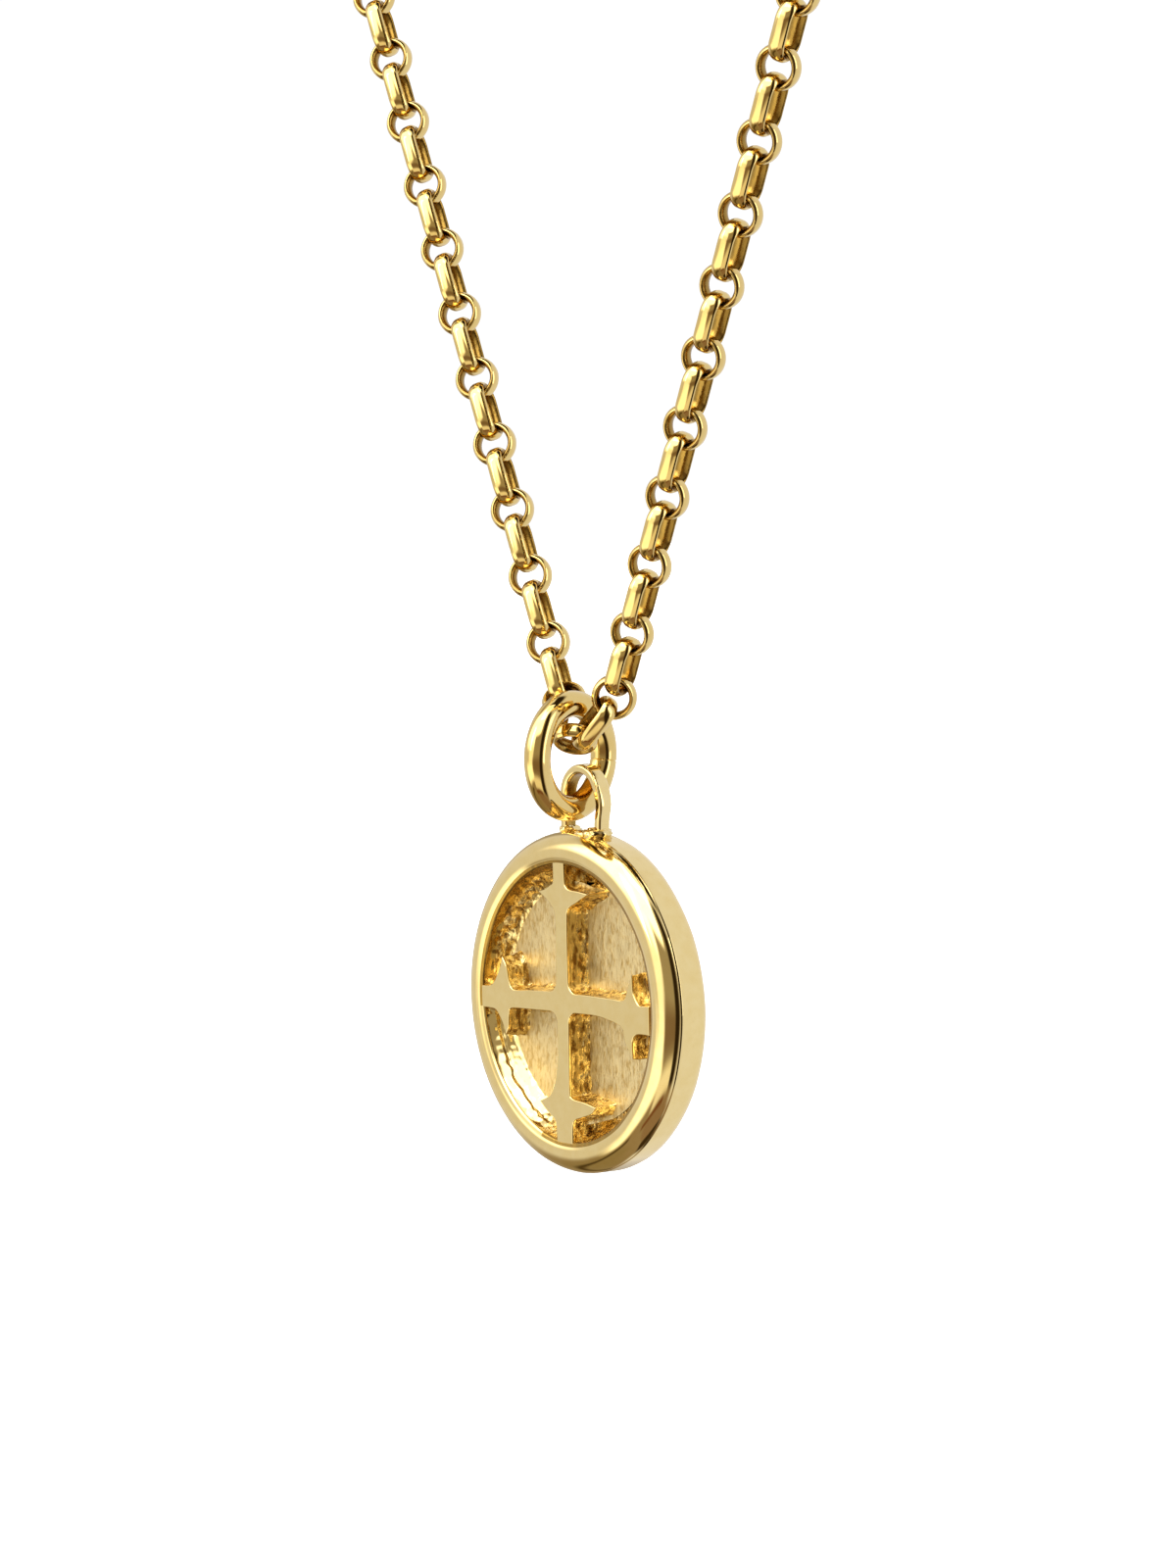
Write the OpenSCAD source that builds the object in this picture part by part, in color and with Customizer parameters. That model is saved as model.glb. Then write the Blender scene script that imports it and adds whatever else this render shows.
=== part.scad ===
/* [Medallion] */
// Outer diameter of the medallion
disc_d = 18; // [17:0.5:20]
// Thickness of the medallion through its rim
disc_t = 2.9; // [2.6:0.1:3.4]
// Width of the raised rim, measured on the front
rim_w = 1.7; // [1.4:0.1:2]
// Depth of the sunk field below the front of the rim
field_depth = 1.35; // [0.8:0.05:1.5]
// Width of a bar of the cross
bar_w = 1.05; // [0.95:0.05:1.3]
// Reach of each pointed spur from the middle line of its arm
spur_reach = 2.35; // [1.8:0.05:2.6]

/* [Hanging loop] */
// Outer width of the soldered loop
loop_w = 3.4; // [3.2:0.1:3.8]
// Height of the soldered loop above the medallion
loop_h = 3.55; // [3.4:0.05:4]

/* [Jump ring] */
// Outer diameter of the jump ring
ring_d = 6.86; // [6.8:0.02:7]
// Diameter of the jump ring's wire
ring_wire = 1.39; // [1.2:0.01:1.4]

/* [Chain] */
// Outer length of a long link
long_len = 3.28; // [3.2:0.02:3.4]
// Outer width of a long link
long_w = 2.2; // [2.16:0.02:2.3]
// Outer diameter of a round link
round_d = 2.38; // [2.34:0.02:2.44]
// Thickness of the links' wire
wire_t = 0.4; // [0.36:0.01:0.4]
// Width of the links' wire
wire_w = 0.82; // [0.7:0.02:0.82]
// Turn of the left strand's links about the line of the chain, in degrees
left_turn = 35; // [32:1:38]
// Turn of the right strand's links about the line of the chain, in degrees
right_turn = 25; // [22:1:28]
// Radius of the round stretch that goes round the neck
neck_r = 49.5; // [46:0.5:54]
// Drop from the middle of the neck stretch to the lowest link
chain_drop = 120; // [110:1:130]

/* [Hidden] */
$fn = 64;

gold = [0.86, 0.72, 0.38];
// Free play between two links, the curve of a link's wire on both of its faces, and its middle flat
play = 0.14;
wire_curve_r = 0.62;
wire_flat = 0.32;
eps = 0.01;

// Clasp, a closed ring with a thicker sleeve at its top
clasp_d = 5.6;
clasp_wire = 1.1;
sleeve_wire = 1.6;
sleeve_arc = 70;

// Places of the pieces: the origin is the underside of the clasp, where the necklace rests
clasp_z = clasp_d / 2;
neck_z = clasp_z - neck_r;
low_link = [2.61, -0.93, neck_z - chain_drop];

// Links: reach of each kind of link from joint to joint
long_reach = long_len - 2 * wire_t - play;
round_reach = round_d - 2 * wire_t - play;
pair_reach = long_reach + round_reach;

// Links that hang freely at the foot of the V: middle from the lowest link, rise, lean to the back, turn
low_links = [
    [[0, 0, 0], 17.9, 8.4, 153.8],
    [[1.381, 0.24, 0.904], 53, 18, 53.7],
    [[2.309, 0.815, 2.29], 66, 11.3, 132.4],
    [[-1.738, -0.205, 0.839], 152.6, 55.3, 77.7],
    [[-2.433, 1.122, 1.816], 151.6, 8.4, 145.1]
];
LL_AT = 0;
LL_RISE = 1;
LL_LEAN = 2;
LL_TURN = 3;
// Where each strand starts above them, left and right, from the lowest link
strand_starts = [[-2.987, 1.443, 1.939], [2.451, 0.953, 2.812]];

// Each strand runs straight from its start, and meets the neck circle along a tangent
function start_of(side) = low_link + strand_starts[side > 0 ? 1 : 0];
function centre_gap(side) = norm([start_of(side)[0], neck_z - start_of(side)[2]]);
function strand_len(side) = sqrt(centre_gap(side) ^ 2 - neck_r ^ 2);
function strand_angle(side) =
    asin(neck_r / centre_gap(side)) - atan(side * start_of(side)[0] / (neck_z - start_of(side)[2]));

// The last link hooks on the clasp's wire, short of the middle of the neck circle
clasp_hook = clasp_d / 2 - clasp_wire - play / 2;
function arc_len(side) = neck_r * (90 + strand_angle(side)) * PI / 180 - clasp_hook;
function route_len(side) = strand_len(side) + arc_len(side);

// The number of links that fits, an odd one, with the rest shared out as play
function pairs(side) = floor((route_len(side) - long_reach) / pair_reach);
function stretch(side) = route_len(side) / (pairs(side) * pair_reach + long_reach);
function link_count(side) = 2 * pairs(side) + 1;

// Distance along the route to joint k
function joint_at(side, k) = stretch(side) * (floor(k / 2) * pair_reach + (k % 2 == 1 ? long_reach : 0));

// Point of the route at distance s: the straight strand, then the neck circle
function route_xz(side, s) = s < strand_len(side)
    ? [start_of(side)[0] + side * s * sin(strand_angle(side)), start_of(side)[2] + s * cos(strand_angle(side))]
    : let (a = (s - strand_len(side)) / neck_r * 180 / PI - strand_angle(side))
        [side * neck_r * cos(a), neck_z + neck_r * sin(a)];
function route(side, s) = let (p = route_xz(side, s))
    [p[0], start_of(side)[1] * (1 - s / route_len(side)), p[1]];
function joint(side, k) = route(side, joint_at(side, k));

// Turn of link k about the chain: the same up the straight strand, and none at the clasp
function full_turn_links(side) = floor(strand_len(side) / pair_reach) * 2;
function turn_share(side, k) = k <= full_turn_links(side)
    ? 1
    : (link_count(side) - k) / (link_count(side) - full_turn_links(side));
function turn_of(side, k) = (side > 0 ? right_turn : left_turn) * turn_share(side, k) + (k % 2 == 1 ? 0 : 90);

// Jump ring: its top rests on the lowest link, and it is turned and set a little to the front
ring_r = (ring_d - ring_wire) / 2;
ring_yaw = 14;
ring_at = low_link + [-0.078, -0.22, -0.886];

// Medallion: its loop hangs on the ring's lower back
loop_rim_t = 0.5;
loop_depth = 0.85;
loop_edge = 0.12;
loop_top_drop = 0.5;
disc_at = ring_at + [-0.29, 1.15, -loop_top_drop - loop_h - disc_d / 2];

// Sizes of the medallion's relief
disc_r = disc_d / 2;
field_r = disc_r - rim_w - 0.6;
rim_edge_r = 0.95;
inner_edge_r = 0.3;
back_sink = 0.12;
cross_step = 0.1;
crossing_r = 0.65;
cross_lean = 2.2;
cross_shift = -0.2;
field_y = -disc_t / 2 + field_depth;

// Half outline of one arm of the cross: distance from its middle line, distance from the crossing
arm_outline = [
    [bar_w / 2, 0],
    [bar_w / 2, 4.9],
    [bar_w / 2 + 0.45, 5.3],
    [spur_reach, 5.75],
    [bar_w / 2 + 0.45, 6.05],
    [0.6, 6.45],
    [0.6, disc_r - rim_w + 0.45]
];

// Half the thickness of a link's wire at a distance from its middle line, along a shallow curve
function half_wire(u) = sqrt(wire_curve_r ^ 2 - u ^ 2) - wire_curve_r + wire_t / 2;

// Section of a link's wire: each face follows the curve with three flats, down to narrow edges
module wire_section(inner_r) {
    mid_r = inner_r + wire_t / 2;
    edge = wire_w / 2;
    flat = wire_flat / 2;
    polygon([
        [mid_r - half_wire(edge), -edge],
        [mid_r + half_wire(edge), -edge],
        [mid_r + half_wire(flat), -flat],
        [mid_r + half_wire(flat), flat],
        [mid_r + half_wire(edge), edge],
        [mid_r - half_wire(edge), edge],
        [mid_r - half_wire(flat), flat],
        [mid_r - half_wire(flat), -flat]
    ]);
}

module round_link() {
    rotate_extrude() wire_section(round_d / 2 - wire_t);
}

module long_link() {
    inner_r = long_w / 2 - wire_t;
    side_len = long_len - long_w;
    for (end = [0, 180])
        rotate([0, 0, end]) {
            translate([side_len / 2, 0, 0])
                rotate([0, 0, -90])
                    rotate_extrude(angle = 180) wire_section(inner_r);
            translate([-side_len / 2, 0, 0])
                rotate([90, 0, 90])
                    linear_extrude(side_len) wire_section(inner_r);
        }
}

// Puts a link at its middle, on the line that rises and leans as given, with its own turn about it
module set_link(at, rise, lean, turn) {
    translate(at) rotate([0, -rise, 0]) rotate([0, 0, lean]) rotate([turn, 0, 0]) children();
}

module strand(side) {
    for (k = [1:link_count(side)]) {
        a = joint(side, k - 1);
        b = joint(side, k);
        run = b - a;
        set_link((a + b) / 2, atan2(run[2], run[0]), asin(run[1] / norm(run)), turn_of(side, k))
            if (k % 2 == 1) long_link();
            else round_link();
    }
}

module low_link_row(i) {
    row = low_links[i];
    set_link(low_link + row[LL_AT], row[LL_RISE], row[LL_LEAN], row[LL_TURN]) children();
}

module chain_left() {
    color(gold) {
        strand(-1);
        low_link_row(4) round_link();
        low_link_row(3) long_link();
        low_link_row(0) round_link();
    }
}

module chain_right() {
    color(gold) {
        strand(1);
        low_link_row(2) round_link();
        low_link_row(1) long_link();
    }
}

module clasp() {
    color(gold) translate([0, 0, clasp_z]) rotate([90, 0, 0]) {
        rotate_extrude() translate([(clasp_d - clasp_wire) / 2, 0]) circle(clasp_wire / 2);
        rotate([0, 0, 90 - sleeve_arc / 2])
            rotate_extrude(angle = sleeve_arc)
                translate([(clasp_d - clasp_wire) / 2, 0]) circle(sleeve_wire / 2);
    }
}

module jump_ring() {
    color(gold) translate(ring_at) rotate([0, 0, ring_yaw]) rotate([0, 90, 0])
        rotate_extrude() translate([ring_r, 0]) circle(ring_wire / 2);
}

// Section of the disc, with its front towards -Y here: floor, rim and rounded edges
module disc_section() {
    half = disc_t / 2;
    translate([0, field_y]) square([disc_r - rim_w, half - back_sink - field_y]);
    polygon([
        [field_r, field_y],
        [disc_r - rim_w, -half + inner_edge_r],
        [disc_r - rim_w + inner_edge_r, -half],
        [disc_r - rim_edge_r, -half],
        [disc_r - rim_edge_r, half],
        [disc_r - rim_w, half],
        [disc_r - rim_w - 0.3, half - back_sink],
        [field_r, half - back_sink]
    ]);
    translate([disc_r - rim_w + inner_edge_r, -half + inner_edge_r]) circle(inner_edge_r);
    for (s = [-1, 1])
        translate([disc_r - rim_edge_r, s * (half - rim_edge_r)]) circle(rim_edge_r);
    translate([disc_r - rim_edge_r - eps, -half + rim_edge_r])
        square([rim_edge_r + eps, disc_t - 2 * rim_edge_r]);
}

module cross_outline() {
    half_arm = arm_outline;
    arm = concat(half_arm, [for (i = [len(half_arm) - 1:-1:0]) [-half_arm[i][0], half_arm[i][1]]]);
    for (a = [0:90:270]) rotate(a) polygon(arm);
    for (a = [0:90:270])
        rotate(a)
            difference() {
                square(bar_w / 2 + crossing_r);
                translate([bar_w / 2 + crossing_r, bar_w / 2 + crossing_r]) circle(crossing_r);
            }
}

module loop_section() {
    polygon([
        [loop_w / 2 - loop_rim_t, -loop_depth / 2 + loop_edge],
        [loop_w / 2 - loop_rim_t + loop_edge, -loop_depth / 2],
        [loop_w / 2 - loop_edge, -loop_depth / 2],
        [loop_w / 2, -loop_depth / 2 + loop_edge],
        [loop_w / 2, loop_depth / 2 - loop_edge],
        [loop_w / 2 - loop_edge, loop_depth / 2],
        [loop_w / 2 - loop_rim_t + loop_edge, loop_depth / 2],
        [loop_w / 2 - loop_rim_t, loop_depth / 2 - loop_edge]
    ]);
}

module hanging_loop() {
    leg_len = loop_h - loop_w / 2 + 0.6;
    translate([0, 0, disc_r + loop_h - loop_w / 2]) {
        rotate([90, 0, 0]) rotate_extrude(angle = 180) loop_section();
        for (side = [0, 180])
            rotate([0, 0, side]) translate([0, 0, -leg_len]) linear_extrude(leg_len) loop_section();
    }
}

module medallion() {
    color(gold) translate(disc_at) {
        rotate([-90, 0, 0]) rotate_extrude() disc_section();
        translate([cross_shift, field_y + eps, 0]) rotate([0, -cross_lean, 0]) rotate([90, 0, 0])
            linear_extrude(field_depth - cross_step + eps) cross_outline();
        hanging_loop();
    }
}

medallion();
jump_ring();
chain_left();
chain_right();
clasp();
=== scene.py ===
"""Dresses a round cross medallion on its jump ring and belcher chain, and sets the studio round it."""

from math import asin, atan, atan2, cos, exp, floor, hypot, pi, radians, sin, sqrt

import bmesh
import bpy
import numpy as np
from bpy.props import FloatProperty, FloatVectorProperty, PointerProperty
from mathutils import Matrix, Vector, noise
from mathutils.geometry import delaunay_2d_cdt


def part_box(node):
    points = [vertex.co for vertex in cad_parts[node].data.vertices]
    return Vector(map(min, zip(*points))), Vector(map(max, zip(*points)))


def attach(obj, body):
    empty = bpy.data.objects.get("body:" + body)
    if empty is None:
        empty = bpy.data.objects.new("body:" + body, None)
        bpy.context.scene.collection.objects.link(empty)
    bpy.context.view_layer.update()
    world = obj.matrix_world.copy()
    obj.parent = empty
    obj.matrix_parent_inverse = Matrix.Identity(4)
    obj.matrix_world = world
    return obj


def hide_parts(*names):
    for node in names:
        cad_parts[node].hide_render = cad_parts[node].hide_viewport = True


bl_info = {
    "name": "Cross medallion necklace",
    "version": (1, 0, 0),
    "blender": (4, 5, 0),
    "location": "3D View > Sidebar > Necklace",
    "description": "Polished gold medallion with a raised cross, jump ring, belcher chain and clasp",
    "category": "Add Mesh",
}

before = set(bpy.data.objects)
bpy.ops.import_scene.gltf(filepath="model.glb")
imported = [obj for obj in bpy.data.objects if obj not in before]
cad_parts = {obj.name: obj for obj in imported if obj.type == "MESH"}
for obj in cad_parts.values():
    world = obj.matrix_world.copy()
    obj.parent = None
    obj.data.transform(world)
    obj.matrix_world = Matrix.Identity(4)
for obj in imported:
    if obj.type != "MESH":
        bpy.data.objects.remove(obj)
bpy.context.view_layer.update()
MM = 0.001


def middle(node):
    low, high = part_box(node)
    return (low + high) / 2


RING_AT = middle("jump_ring")
MEDALLION_LOW, MEDALLION_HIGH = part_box("medallion")


def size(label, text, default):
    """A length that a user may change, in metres."""
    return FloatProperty(name=label, description=text, default=default * MM, unit="LENGTH", precision=5)


class MedallionSizes(bpy.types.PropertyGroup):
    diameter: size("Diameter", "Across the outside of the rim", 18.0)
    thickness: size("Thickness", "Through the rim, front to back", 2.9)
    rim_width: size("Rim width", "Raised rim, seen from the front", 1.7)
    field_depth: size("Field depth", "Sunk field below the front of the rim", 1.35)
    cross_step: size("Cross step", "How far the cross stays below the front of the rim", 0.1)
    crinkle: size("Crinkle", "Height of the casting's wrinkles on the sunk walls", 0.07)
    loop_width: size("Loop width", "Outer width of the soldered loop", 3.4)
    loop_height: size("Loop height", "Loop above the top of the rim", 3.55)
    loop_strip: size("Loop strip", "Radial thickness of the loop's strip", 0.5)
    loop_depth: size("Loop depth", "Depth of the loop's strip, front to back", 0.85)


class RingSizes(bpy.types.PropertyGroup):
    diameter: size("Diameter", "Across the outside of the jump ring", 6.86)
    wire: size("Wire", "Diameter of the jump ring's wire", 1.39)
    yaw: FloatProperty(name="Yaw", description="Turn of the jump ring about the upright line",
                       default=radians(14), unit="ROTATION")
    clasp_diameter: size("Clasp diameter", "Across the outside of the clasp's ring", 5.6)
    clasp_wire: size("Clasp wire", "Diameter of the clasp's wire", 1.1)
    sleeve_wire: size("Sleeve", "Diameter of the clasp's thicker sleeve", 1.6)


class ChainSizes(bpy.types.PropertyGroup):
    long_length: size("Long link", "Outer length of a long link", 3.28)
    long_width: size("Long link's width", "Outer width of a long link", 2.2)
    round_diameter: size("Round link", "Outer diameter of a round link", 2.38)
    wire_thickness: size("Wire thickness", "Radial thickness of the links' wire", 0.4)
    wire_width: size("Wire width", "Width of the links' wire", 0.82)
    play: size("Play", "Gap between two links", 0.14)
    neck_radius: size("Neck radius", "Radius of the stretch round the neck", 49.5)
    drop: size("Drop", "From the middle of the neck stretch to the lowest link", 120.0)
    turn_left: FloatProperty(name="Left turn", description="Turn of the left strand's links",
                             default=radians(35), unit="ROTATION")
    turn_right: FloatProperty(name="Right turn", description="Turn of the right strand's links",
                              default=radians(25), unit="ROTATION")


def tint(label, text, colour):
    """A colour that a user may change."""
    return FloatVectorProperty(name=label, description=text, default=colour, subtype="COLOR", size=3,
                               min=0, max=1)


class GoldFinish(bpy.types.PropertyGroup):
    polished: tint("Polished gold", "Colour of the polished metal", (0.88, 0.69, 0.31))
    chain: tint("Chain gold", "Colour of the polished metal of chain and rings", (0.81, 0.6, 0.225))
    cast: tint("Cast gold", "Bright colour of the cast walls", (1.0, 0.78, 0.34))
    pits: tint("Pits", "Colour in the pits of the cast walls", (0.28, 0.15, 0.03))
    satin: tint("Satin gold", "Colour of the sunk field", (0.71, 0.575, 0.305))
    # deep also mottles the darker gold of the painted shade
    deep: tint("Deep gold", "Colour of stains in the sunk field and on worn faces", (0.42, 0.25, 0.05))
    # Painted shade: the darker gold painted on the inner faces of links and loop, on the rim's inner lip and
    # along the top of the sunk wall
    painted_shade: tint("Worn gold", "Colour of inner faces that stay unpolished", (0.35, 0.215, 0.05))
    gloss: FloatProperty(name="Polish roughness", description="Roughness of the polished metal",
                         default=0.06, min=0, max=1, subtype="FACTOR")
    satin_roughness: FloatProperty(name="Satin roughness", description="Roughness of the sunk field",
                                   default=0.42, min=0, max=1, subtype="FACTOR")


class StudioSettings(bpy.types.PropertyGroup):
    floor_colour: tint("Floor", "Colour of the pale floor", (0.93, 0.93, 0.92))
    lens: FloatProperty(name="Lens", description="Focal length of the camera, in millimetres",
                        default=109.125, min=1)
    azimuth: FloatProperty(name="Azimuth", description="Turn of the camera round the pendant",
                           default=radians(53), unit="ROTATION")
    pitch: FloatProperty(name="Pitch", description="How far the camera looks down",
                         default=radians(5.4), unit="ROTATION")
    distance: size("Distance", "From the camera to the medallion", 250.0)


# Mesh helpers


def lay_grid(points, close_rows, close_columns):
    """Vertices and quads of a grid of points, rows x columns x 3."""
    rows, columns = points.shape[:2]
    row_ends = rows if close_rows else rows - 1
    column_ends = columns if close_columns else columns - 1
    r, c = np.meshgrid(np.arange(row_ends), np.arange(column_ends), indexing="ij")
    r2, c2 = (r + 1) % rows, (c + 1) % columns
    quads = np.stack([r * columns + c, r * columns + c2, r2 * columns + c2, r2 * columns + c], -1)
    return points.reshape(-1, 3), quads.reshape(-1, 4)


def make_piece(name, parts, caps=(), smooth=True):
    """One object from several grids of quads, with flat caps given as rings of vertex numbers."""
    vertices, faces, start = [], [], 0
    for points, quads in parts:
        vertices.append(points)
        faces += (quads + start).tolist()
        start += len(points)
    faces += [list(cap) for cap in caps]
    mesh = bpy.data.meshes.new(name)
    mesh.from_pydata(np.concatenate(vertices).tolist(), [], faces)
    mesh.validate()
    if smooth:
        mesh.polygons.foreach_set("use_smooth", np.ones(len(mesh.polygons), bool))
    mesh.update()
    piece = bpy.data.objects.new(name, mesh)
    bpy.context.scene.collection.objects.link(piece)
    return piece


def weld(piece, distance):
    """Joins vertices that lie closer together than the distance."""
    mesh = bmesh.new()
    mesh.from_mesh(piece.data)
    bmesh.ops.remove_doubles(mesh, verts=mesh.verts, dist=distance)
    mesh.to_mesh(piece.data)
    mesh.free()


def shade_inside(piece, rows, columns, first, last, material):
    """Paints shade on the columns from first up to last in each row of a piece's grids, as a second, darker
    material.
    """
    piece.data.materials.append(material)
    marks = np.zeros(columns, np.int32)
    marks[first:last] = 1
    piece.data.polygons.foreach_set("material_index", np.tile(marks, rows))


def dress(piece, body, material, *nodes):
    """Gives a piece its body, its finish and the solids that it stands for."""
    piece.data.materials.append(material)
    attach(piece, body)
    if nodes:
        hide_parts(*nodes)


def turn_x(angle):
    c, s = cos(angle), sin(angle)
    return np.array([[1, 0, 0], [0, c, -s], [0, s, c]])


def turn_y(angle):
    c, s = cos(angle), sin(angle)
    return np.array([[c, 0, s], [0, 1, 0], [-s, 0, c]])


def turn_z(angle):
    c, s = cos(angle), sin(angle)
    return np.array([[c, -s, 0], [s, c, 0], [0, 0, 1]])


def clamp(value):
    return min(max(value, 0), 1)


def wrinkle(point, scale, octaves=3):
    """Smooth repeatable noise, about -1 to 1, at a point in metres; scale is the size of a wrinkle."""
    p = Vector(point) / scale
    total, strength, reach = 0.0, 1.0, 0.0
    for step in range(octaves):
        total += strength * noise.noise(p * 2 ** step + Vector((7.3 * step, 1.9, 4.1)))
        reach += strength
        strength *= 0.5
    return total / reach * 1.6


# Materials


def new_material(name, metallic=0.0):
    material = bpy.data.materials.new(name)
    material.use_nodes = True
    tree = material.node_tree
    shader = tree.nodes["Principled BSDF"]
    shader.inputs["Metallic"].default_value = metallic
    return material, tree, shader


def scaled_noise(tree, stretch, detail=3.0, roughness=0.55):
    """Noise over the object's own place, with a size per axis in metres."""
    place = tree.nodes.new("ShaderNodeTexCoord")
    mapping = tree.nodes.new("ShaderNodeMapping")
    mapping.inputs["Scale"].default_value = [1 / s for s in stretch]
    tree.links.new(place.outputs["Object"], mapping.inputs["Vector"])
    texture = tree.nodes.new("ShaderNodeTexNoise")
    texture.inputs["Scale"].default_value = 1.0
    texture.inputs["Detail"].default_value = detail
    texture.inputs["Roughness"].default_value = roughness
    tree.links.new(mapping.outputs["Vector"], texture.inputs["Vector"])
    return texture.outputs["Fac"]


def remap(tree, value, low, high, to_low=0, to_high=1, kind="LINEAR"):
    node = tree.nodes.new("ShaderNodeMapRange")
    node.interpolation_type = kind
    node.inputs["From Min"].default_value = low
    node.inputs["From Max"].default_value = high
    node.inputs["To Min"].default_value = to_low
    node.inputs["To Max"].default_value = to_high
    tree.links.new(value, node.inputs["Value"])
    return node.outputs["Result"]


def mix_colours(tree, factor, first, second):
    """The second colour laid over the first, which may also come from another node."""
    node = tree.nodes.new("ShaderNodeMix")
    node.data_type = "RGBA"
    if isinstance(first, bpy.types.NodeSocket):
        tree.links.new(first, node.inputs["A"])
    else:
        node.inputs["A"].default_value = (*first, 1)
    node.inputs["B"].default_value = (*second, 1)
    tree.links.new(factor, node.inputs["Factor"])
    return node.outputs["Result"]


def bump(tree, height, distance, strength=1.0, before=None):
    node = tree.nodes.new("ShaderNodeBump")
    node.inputs["Strength"].default_value = strength
    node.inputs["Distance"].default_value = distance
    tree.links.new(height, node.inputs["Height"])
    if before is not None:
        tree.links.new(before, node.inputs["Normal"])
    return node.outputs["Normal"]


def polished_gold(name, finish, colour):
    """Bright polished gold with the slow waves and faint rubbing marks of hand polish."""
    material, tree, shader = new_material(name, metallic=1)
    waves = scaled_noise(tree, (1.6 * MM, 1.6 * MM, 1.6 * MM), detail=1.0)
    marks = scaled_noise(tree, (0.05 * MM, 0.05 * MM, 0.3 * MM), detail=2.0)
    cloud = scaled_noise(tree, (0.7 * MM, 0.7 * MM, 0.7 * MM))
    tree.links.new(remap(tree, cloud, 0.3, 0.7, finish.gloss * 0.7, finish.gloss * 1.5),
                   shader.inputs["Roughness"])
    warm = [c * k for c, k in zip(colour, (0.97, 0.94, 0.86))]
    tree.links.new(mix_colours(tree, remap(tree, cloud, 0.35, 0.7), colour, warm),
                   shader.inputs["Base Color"])
    slow = bump(tree, waves, 0.004 * MM)
    tree.links.new(bump(tree, marks, 0.0006 * MM, 0.5, slow), shader.inputs["Normal"])
    return material


def satin_gold(finish):
    """The sunk field: gold with an upright grain and small cloudy stains."""
    material, tree, shader = new_material("satin_gold", metallic=1)
    grain = scaled_noise(tree, (0.17 * MM, 0.17 * MM, 0.5 * MM), detail=4.0, roughness=0.7)
    cloud = scaled_noise(tree, (0.9 * MM, 0.9 * MM, 1.4 * MM), detail=4.0)
    tree.links.new(remap(tree, cloud, 0.3, 0.7, finish.satin_roughness * 0.8, finish.satin_roughness * 1.25),
                   shader.inputs["Roughness"])
    tree.links.new(mix_colours(tree, remap(tree, grain, 0.46, 0.66, 0, 0.75), finish.satin, finish.deep),
                   shader.inputs["Base Color"])
    tree.links.new(bump(tree, grain, 0.05 * MM, 0.9), shader.inputs["Normal"])
    return material


def cast_gold(finish):
    """Cast walls: bright gold broken by pits and upright draw marks."""
    material, tree, shader = new_material("cast_gold", metallic=1)
    pits = scaled_noise(tree, (0.24 * MM, 0.3 * MM, 0.7 * MM), detail=4.0, roughness=0.55)
    draws = scaled_noise(tree, (0.2 * MM, 0.9 * MM, 0.3 * MM), detail=2.0)
    tree.links.new(remap(tree, pits, 0.3, 0.7, 0.08, 0.26), shader.inputs["Roughness"])
    tree.links.new(mix_colours(tree, remap(tree, pits, 0.47, 0.6, 0, 0.95), finish.cast, finish.pits),
                   shader.inputs["Base Color"])
    rough = bump(tree, pits, 0.1 * MM, 1.0)
    tree.links.new(bump(tree, draws, 0.02 * MM, 0.6, rough), shader.inputs["Normal"])
    return material


def painted_shade_gold(finish):
    """Painted shade for inner faces and inner edges: a darker gold, mottled with brown stains."""
    material, tree, shader = new_material("painted_shade_gold", metallic=1)
    shader.inputs["Roughness"].default_value = 0.22
    stains = scaled_noise(tree, (0.3 * MM, 0.3 * MM, 0.5 * MM), detail=3.0)
    tree.links.new(mix_colours(tree, remap(tree, stains, 0.35, 0.65), finish.painted_shade, finish.deep),
                   shader.inputs["Base Color"])
    tree.links.new(bump(tree, stains, 0.03 * MM, 0.6), shader.inputs["Normal"])
    return material


def gold(kind):
    """A finish of the metal, made once and shared by the pieces: polished, chain, satin, cast, or the darker
    gold of painted shade.
    """
    made = bpy.data.materials.get(f"{kind}_gold")
    if made:
        return made
    finish = bpy.context.scene.necklace_finish
    if kind == "polished":
        return polished_gold("polished_gold", finish, finish.polished)
    if kind == "chain":
        return polished_gold("chain_gold", finish, finish.chain)
    return {"satin": satin_gold, "cast": cast_gold, "painted_shade": painted_shade_gold}[kind](finish)


# Chain


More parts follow.
